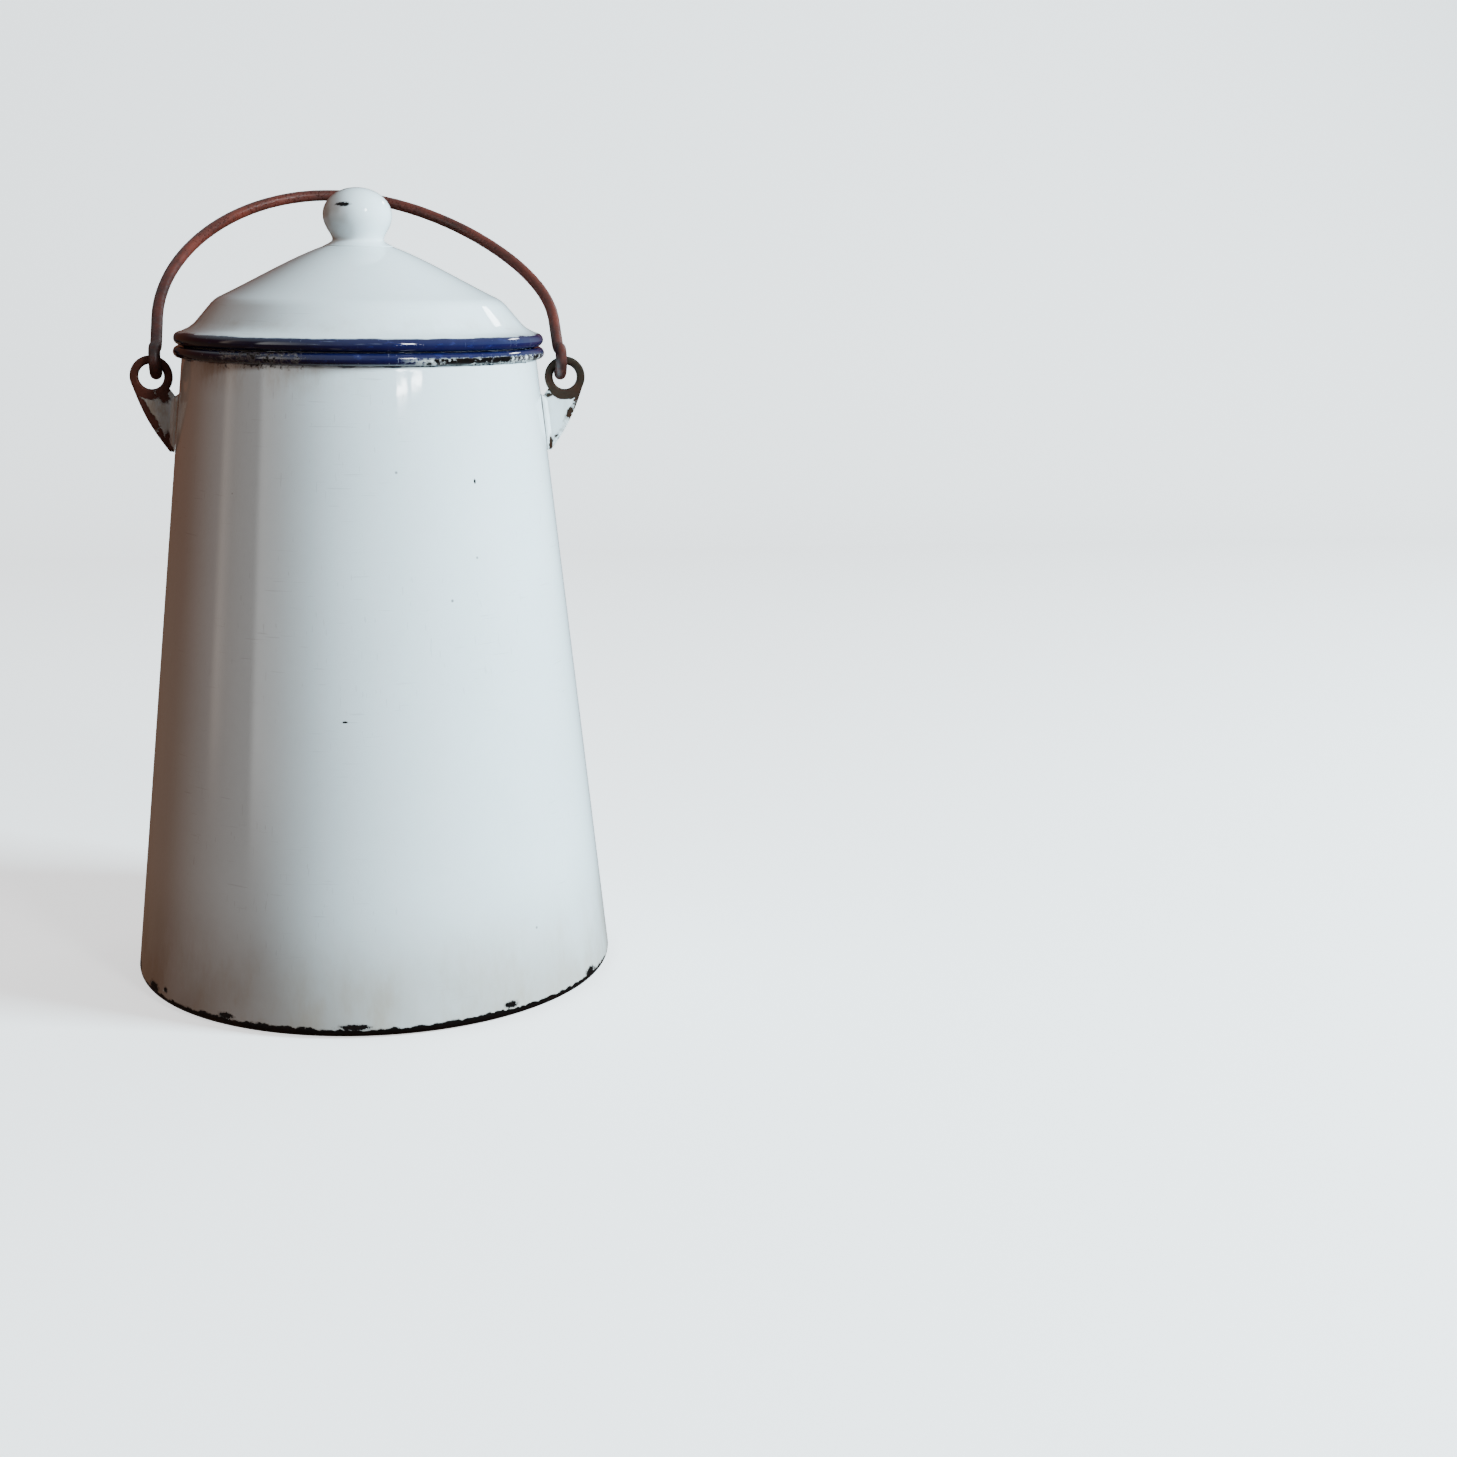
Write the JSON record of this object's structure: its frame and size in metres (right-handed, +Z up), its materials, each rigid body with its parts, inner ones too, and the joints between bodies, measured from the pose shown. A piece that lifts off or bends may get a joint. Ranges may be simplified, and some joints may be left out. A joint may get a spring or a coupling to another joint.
{
  "type": "milk pail",
  "caption": "Tapered enamelled milk pail with a loose pressed lid, a round knob and a swinging wire bail hung in folded ears.",
  "frame": {"origin": "centre of the pail's base, on the surface it stands on", "axes": "+Z up along the pail's axis, X through both ears, +Y to the side that the bail leans to"},
  "size_m": [0.1762, 0.1762, 0.2863],
  "materials": {
    "wall_enamel": "glossy white enamel with a navy rim",
    "bottom_enamel": "glossy white enamel",
    "ear_enamel": "glossy white enamel, worn to rust round the eyelet",
    "bail_iron": "rusty iron wire",
    "lid_enamel": "glossy white enamel with a navy edge",
    "collar_enamel": "glossy white enamel",
    "knob_enamel": "glossy white enamel"
  },
  "bodies": {
    "pail": {"body_wall": "wall_enamel", "body_bottom": "bottom_enamel", "ear_left": "ear_enamel", "ear_right": "ear_enamel"},
    "bail": {"bail": "bail_iron"},
    "lid": {"lid_cover": "lid_enamel", "lid_collar": "collar_enamel", "lid_knob": "knob_enamel"}
  },
  "joints": [
    {"name": "bail_swing", "type": "hinge", "parent": "pail", "child": "bail", "pos_m": [0, 0, 0.22463], "axis": [1, 0, 0], "range_deg": [-77, 182]},
    {"name": "lid_lift", "type": "slide", "parent": "pail", "child": "lid", "axis": [0, 0, 1], "range_m": [0, 0.05]}
  ]
}
